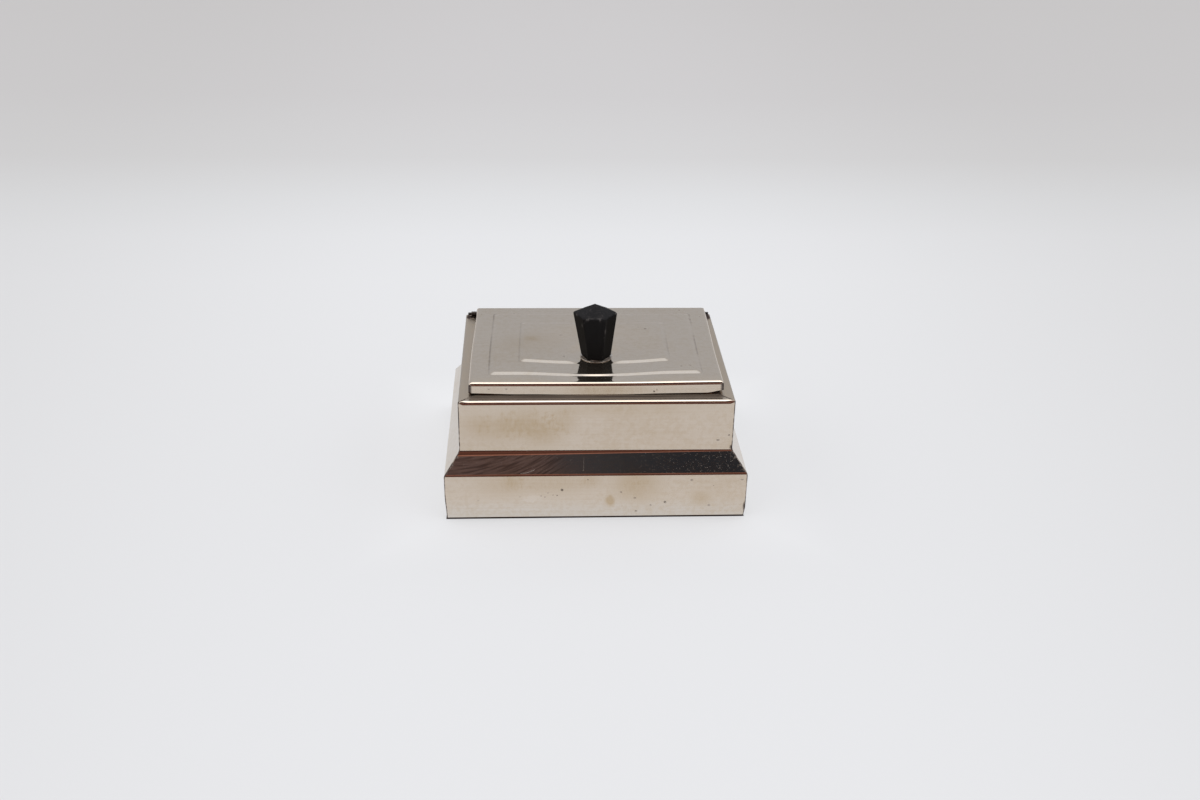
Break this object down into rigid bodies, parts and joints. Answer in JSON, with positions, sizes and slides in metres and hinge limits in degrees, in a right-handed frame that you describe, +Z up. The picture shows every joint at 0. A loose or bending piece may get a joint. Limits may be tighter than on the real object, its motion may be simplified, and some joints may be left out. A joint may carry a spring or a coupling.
{
  "type": "hinged table box",
  "caption": "Bright plated metal table box with a stepped plinth, a cedar lining, a hinged lid with pressed concentric steps and a tapered six-sided black knob.",
  "frame": {"origin": "middle of the box's footprint, on the surface that it stands on", "axes": "+Z up, -Y towards the front, +X to the right as seen from the front"},
  "size_m": [0.12, 0.0954, 0.0765],
  "materials": {
    "nickel_plate": "bright warm nickel plate with light tarnish, pits and fine scratches",
    "dark_steel": "darkened steel",
    "brass": "turned",
    "black_resin": "moulded, softly worn gloss",
    "cedar": "planed, unvarnished"
  },
  "bodies": {
    "case": {"front_wall": "nickel_plate", "right_wall": "nickel_plate", "rear_wall": "nickel_plate", "left_wall": "nickel_plate", "base_plate": "nickel_plate", "lining_front": "cedar", "lining_right": "cedar", "lining_rear": "cedar", "lining_left": "cedar", "lining_floor": "cedar", "hinge_body_leaf": "dark_steel", "hinge_pin": "dark_steel"},
    "lid": {"lid_shell": "nickel_plate", "hinge_lid_leaf": "dark_steel", "knob": "black_resin", "knob_bush": "brass", "knob_washer": "nickel_plate", "screw_washer": "dark_steel", "knob_screw": "dark_steel"}
  },
  "joints": [
    {"name": "lid_hinge", "type": "hinge", "parent": "case", "child": "lid", "pos_m": [0, 0.03945, 0.0504], "axis": [-1, 0, 0], "range_deg": [0, 105]}
  ]
}
